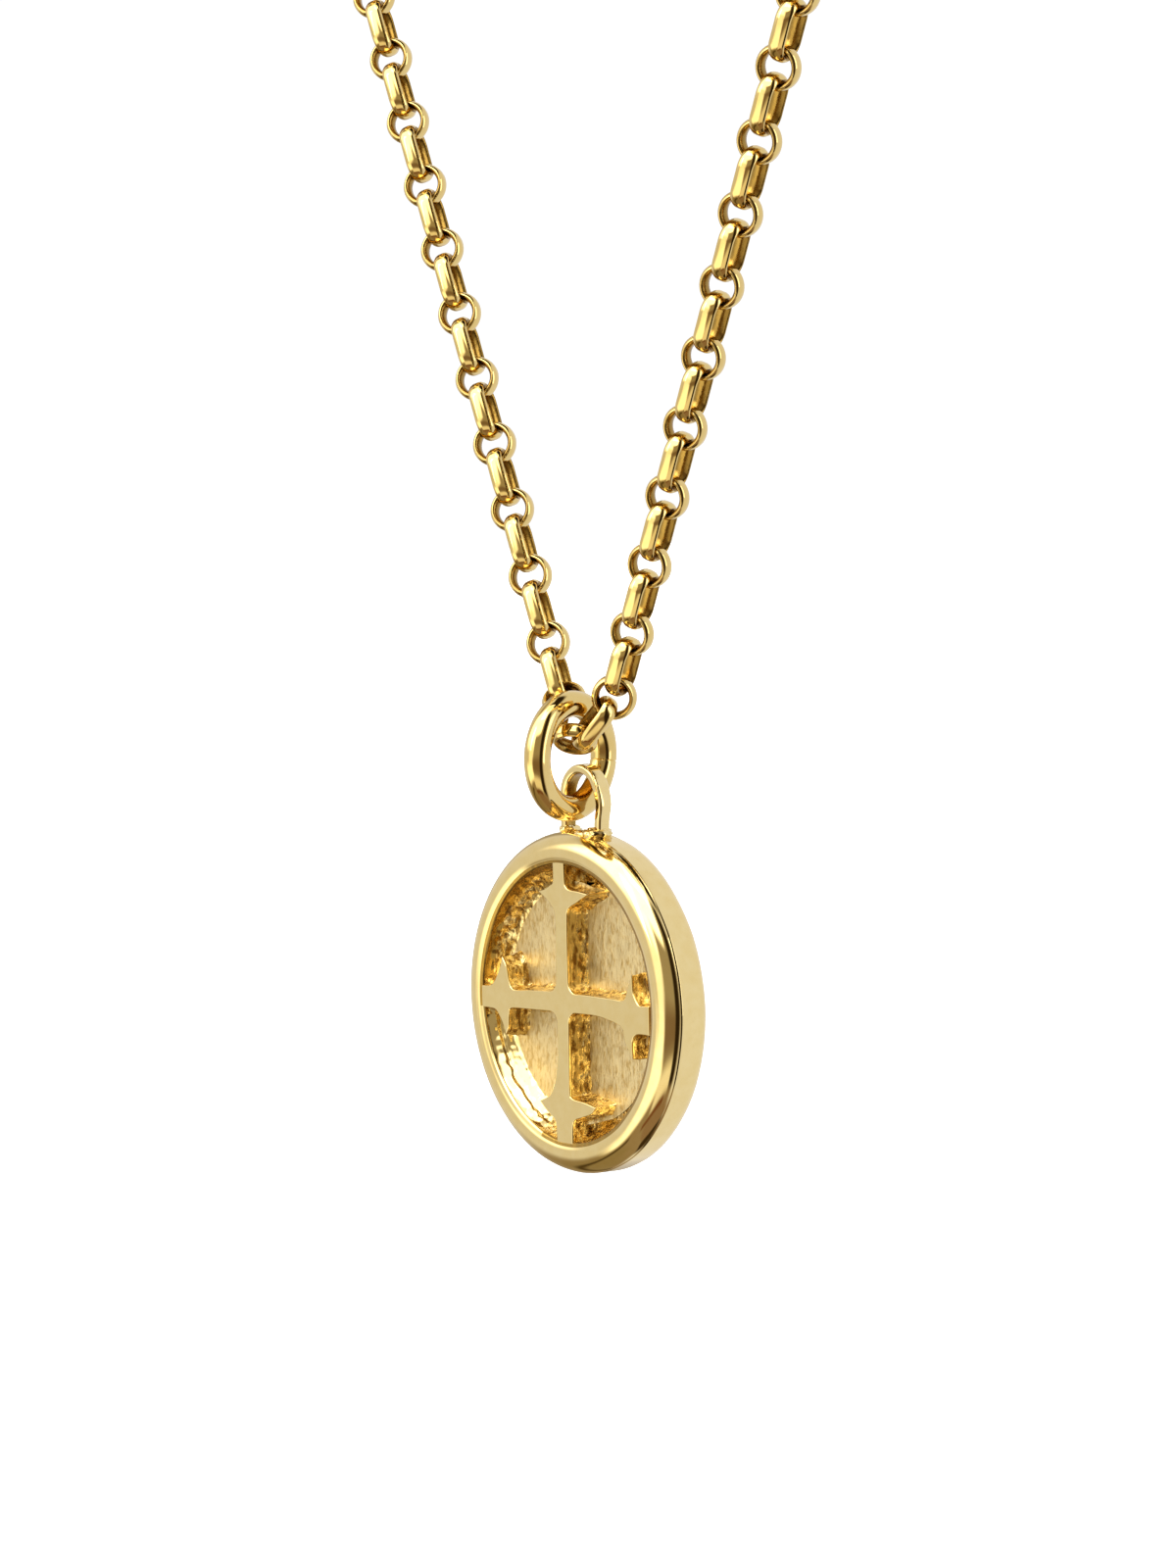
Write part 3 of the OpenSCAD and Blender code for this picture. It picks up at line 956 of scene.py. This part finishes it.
# Walls of the light tent, painted one over the other, in degrees as seen from the pendant:
# middle (from the camera, to its right), half width, lowest, highest, softness, light
TENT = (
    (0, 400, -200, 200, 10, (0.4, 0.34, 0.24)),
    (0, 400, 62, 200, 10, (1.2, 1.17, 1.1)),
    (175, 74, 12, 58, 6, (0.9, 0.9, 0.95)),
    (-118, 40, -27, 45, 9, (0.79, 0.775, 0.78)),
    (-74, 36, 12, 84, 8, (3.2, 3.15, 3.0)),
    (-24, 30, 36, 84, 6, (3.0, 2.95, 2.8)),
    (0, 400, -200, -30, 12, (0.34, 0.26, 0.17)),
    (112, 62, -64, 57, 8, (0.88, 0.895, 0.99)),
    (150, 92, 60, 82, 4, (0.03, 0.018, 0.007)),
    (0, 400, 77, 200, 3, (0.03, 0.018, 0.007)),
    (-130, 45, -70, -34, 10, (0.3, 0.235, 0.13)),
    (-130, 50, -47, -42, 2.5, (0.08, 0.05, 0.015)),
    (105, 60, -90, -66, 7, (0.05, 0.03, 0.01)),
    (-58, 20, -14, 20, 8, (1.5, 1.45, 1.3)),
    (-68, 30, -35, -10, 6, (1.9, 1.85, 1.65)),
    (-8, 36, -24, -1, 8, (0.24, 0.165, 0.1)),
    (-12, 34, -50, -30, 6, (1.05, 0.98, 0.82)),
    (12, 62, -90, -56, 8, (0.3, 0.2, 0.13)),
    (-25, 34, -59, -52, 3, (0.2, 0.08, 0.03)),
    (32, 13, -48, 66, 5, (0.03, 0.018, 0.007)),
)
# Lamps: name, place from a point above the medallion's middle, width, height, power
SOFT_BOXES = (
    ("front_left", (-0.1, -0.4, 0.2), 0.1, 0.3, 0.25),
    ("right", (0.4, 0.16, 0.12), 0.12, 0.4, 0.25),
    ("above", (0.05, -0.1, 0.5), 0.3, 0.3, 0.5),
)
# Width and height of the frame in pixels, where the medallion's middle shows in it, and the
# sensor's size in millimetres
FRAME = (1200, 1600)
MIDDLE_SHOWN = (597, 1022)
SENSOR = 36


def arithmetic(tree, operation, first, second=None):
    node = tree.nodes.new("ShaderNodeMath")
    node.operation = operation
    for socket, value in zip(node.inputs, (first, second)):
        if isinstance(value, (int, float)):
            socket.default_value = value
        elif value is not None:
            tree.links.new(value, socket)
    return node.outputs["Value"]


def dot(tree, vector, direction):
    node = tree.nodes.new("ShaderNodeVectorMath")
    node.operation = "DOT_PRODUCT"
    tree.links.new(vector, node.inputs[0])
    node.inputs[1].default_value = direction
    return node.outputs["Value"]


def degrees_of(tree, angle):
    return arithmetic(tree, "MULTIPLY", angle, 180 / pi)


def step_up(tree, value, at, edge):
    return remap(tree, value, at - edge, at + edge, kind="SMOOTHSTEP")


def step_down(tree, value, at, edge):
    return arithmetic(tree, "SUBTRACT", 1.0, step_up(tree, value, at, edge))


class NECKLACE_OT_studio(bpy.types.Operator):
    """Sets the pale floor, the light tent, the soft lights and the camera"""

    bl_idname = "necklace.studio"
    bl_label = "Set the studio"

    def execute(self, context):
        settings = context.scene.necklace_studio
        self.floor(settings)
        self.surroundings(settings)
        self.lights()
        self.camera(context, settings)
        context.scene.view_settings.view_transform = "Standard"
        return {"FINISHED"}

    def floor(self, settings):
        """A flat pale floor 5 cm below the medallion, which the metal doesn't mirror."""
        height = MEDALLION_LOW.z - 50 * MM
        marks = (-1.5, 0.0, 1.5)
        points = np.array([[(x, y, height) for y in marks] for x in marks])
        piece = make_piece("floor", [lay_grid(points, False, False)], smooth=False)
        material, tree, shader = new_material("floor_paint")
        shader.inputs["Base Color"].default_value = (*settings.floor_colour, 1)
        shader.inputs["Roughness"].default_value = 0.9
        shader.inputs["Emission Color"].default_value = (1, 1, 1, 1)
        shader.inputs["Emission Strength"].default_value = 0.45
        piece.data.materials.append(material)
        piece.visible_glossy = False

    def surroundings(self, settings):
        """The light tent that the metal mirrors, with a plain bright backdrop for the camera."""
        world = bpy.data.worlds.new("studio")
        bpy.context.scene.world = world
        world.use_nodes = True
        tree = world.node_tree
        place = tree.nodes.new("ShaderNodeTexCoord").outputs["Generated"]
        to_camera = (sin(settings.azimuth), -cos(settings.azimuth), 0)
        to_right = (cos(settings.azimuth), sin(settings.azimuth), 0)
        across = arithmetic(tree, "ARCTAN2", dot(tree, place, to_right), dot(tree, place, to_camera))
        angle = degrees_of(tree, across)
        height = degrees_of(tree, arithmetic(tree, "ARCSINE", dot(tree, place, (0, 0, 1))))
        light = TENT[0][-1]
        for centre, half_width, low, high, edge, level in TENT:
            away = arithmetic(tree, "ABSOLUTE", arithmetic(tree, "SUBTRACT", angle, centre))
            inside = arithmetic(tree, "MULTIPLY", step_down(tree, away, half_width, edge),
                                arithmetic(tree, "MULTIPLY", step_down(tree, height, high, edge),
                                           step_up(tree, height, low, edge)))
            light = mix_colours(tree, inside, light, level)
        sky = tree.nodes["Background"]
        tree.links.new(light, sky.inputs["Color"])
        seen = tree.nodes.new("ShaderNodeBackground")
        seen.inputs["Color"].default_value = (1, 1, 1, 1)
        seen.inputs["Strength"].default_value = 1.05
        path = tree.nodes.new("ShaderNodeLightPath")
        mixed = tree.nodes.new("ShaderNodeMixShader")
        tree.links.new(path.outputs["Is Camera Ray"], mixed.inputs["Fac"])
        tree.links.new(sky.outputs["Background"], mixed.inputs[1])
        tree.links.new(seen.outputs["Background"], mixed.inputs[2])
        tree.links.new(mixed.outputs["Shader"], tree.nodes["World Output"].inputs["Surface"])

    def lights(self):
        """Three soft boxes: front left, right, and above."""
        target = Vector(medallion_middle(bpy.context.scene.necklace_medallion)) + Vector((0, 0, 0.03))
        for name, offset, width, height, power in SOFT_BOXES:
            light = bpy.data.lights.new(name, "AREA")
            light.shape = "RECTANGLE"
            light.size = width
            light.size_y = height
            light.energy = power
            lamp = bpy.data.objects.new(name, light)
            lamp.location = target + Vector(offset)
            lamp.rotation_euler = (target - lamp.location).to_track_quat("-Z", "Y").to_euler()
            bpy.context.scene.collection.objects.link(lamp)

    def camera(self, context, settings):
        """Aims the camera so that the medallion's middle shows at its place in the frame."""
        a, p = settings.azimuth, settings.pitch
        right = Vector((cos(a), sin(a), 0))
        level = Vector((-sin(a), cos(a), 0))
        ahead = level * cos(p) - Vector((0, 0, 1)) * sin(p)
        up = right.cross(ahead)
        pixel = SENSOR / settings.lens / FRAME[1] * settings.distance
        middle_at = Vector(medallion_middle(context.scene.necklace_medallion))
        across = (MIDDLE_SHOWN[0] - FRAME[0] / 2) * pixel
        down = (MIDDLE_SHOWN[1] - FRAME[1] / 2) * pixel
        camera = bpy.data.cameras.new("camera")
        camera.lens = settings.lens
        camera.sensor_width = SENSOR
        camera.sensor_height = SENSOR
        camera.clip_start = 0.005
        holder = bpy.data.objects.new("camera", camera)
        turn = Matrix((right, up, -ahead)).transposed()
        holder.matrix_world = Matrix.Translation(
            middle_at - ahead * settings.distance - right * across + up * down) @ turn.to_4x4()
        context.scene.collection.objects.link(holder)
        context.scene.camera = holder


class NECKLACE_PT_panel(bpy.types.Panel):
    """Lists the pieces of the necklace"""

    bl_idname = "NECKLACE_PT_panel"
    bl_label = "Cross medallion necklace"
    bl_space_type = "VIEW_3D"
    bl_region_type = "UI"
    bl_category = "Necklace"

    def draw(self, context):
        layout = self.layout
        for group in GROUPS:
            settings = getattr(context.scene, group)
            box = layout.box()
            for key in settings.__annotations__:
                box.prop(settings, key)
        for step in STEPS:
            layout.operator(step.bl_idname)


GROUPS = {
    "necklace_medallion": MedallionSizes,
    "necklace_rings": RingSizes,
    "necklace_chain": ChainSizes,
    "necklace_finish": GoldFinish,
    "necklace_studio": StudioSettings,
}
STEPS = (
    NECKLACE_OT_medallion,
    NECKLACE_OT_loop,
    NECKLACE_OT_jump_ring,
    NECKLACE_OT_chain,
    NECKLACE_OT_clasp,
    NECKLACE_OT_studio,
)


def register():
    for group, kind in GROUPS.items():
        bpy.utils.register_class(kind)
        setattr(bpy.types.Scene, group, PointerProperty(type=kind))
    for kind in (*STEPS, NECKLACE_PT_panel):
        bpy.utils.register_class(kind)


def unregister():
    for kind in (NECKLACE_PT_panel, *reversed(STEPS)):
        bpy.utils.unregister_class(kind)
    for group, kind in reversed(GROUPS.items()):
        delattr(bpy.types.Scene, group)
        bpy.utils.unregister_class(kind)


def main():
    register()
    bpy.ops.necklace.medallion()
    bpy.ops.necklace.loop()
    bpy.ops.necklace.jump_ring()
    bpy.ops.necklace.chain()
    bpy.ops.necklace.clasp()
    bpy.ops.necklace.studio()


if __name__ == "__main__":
    main()
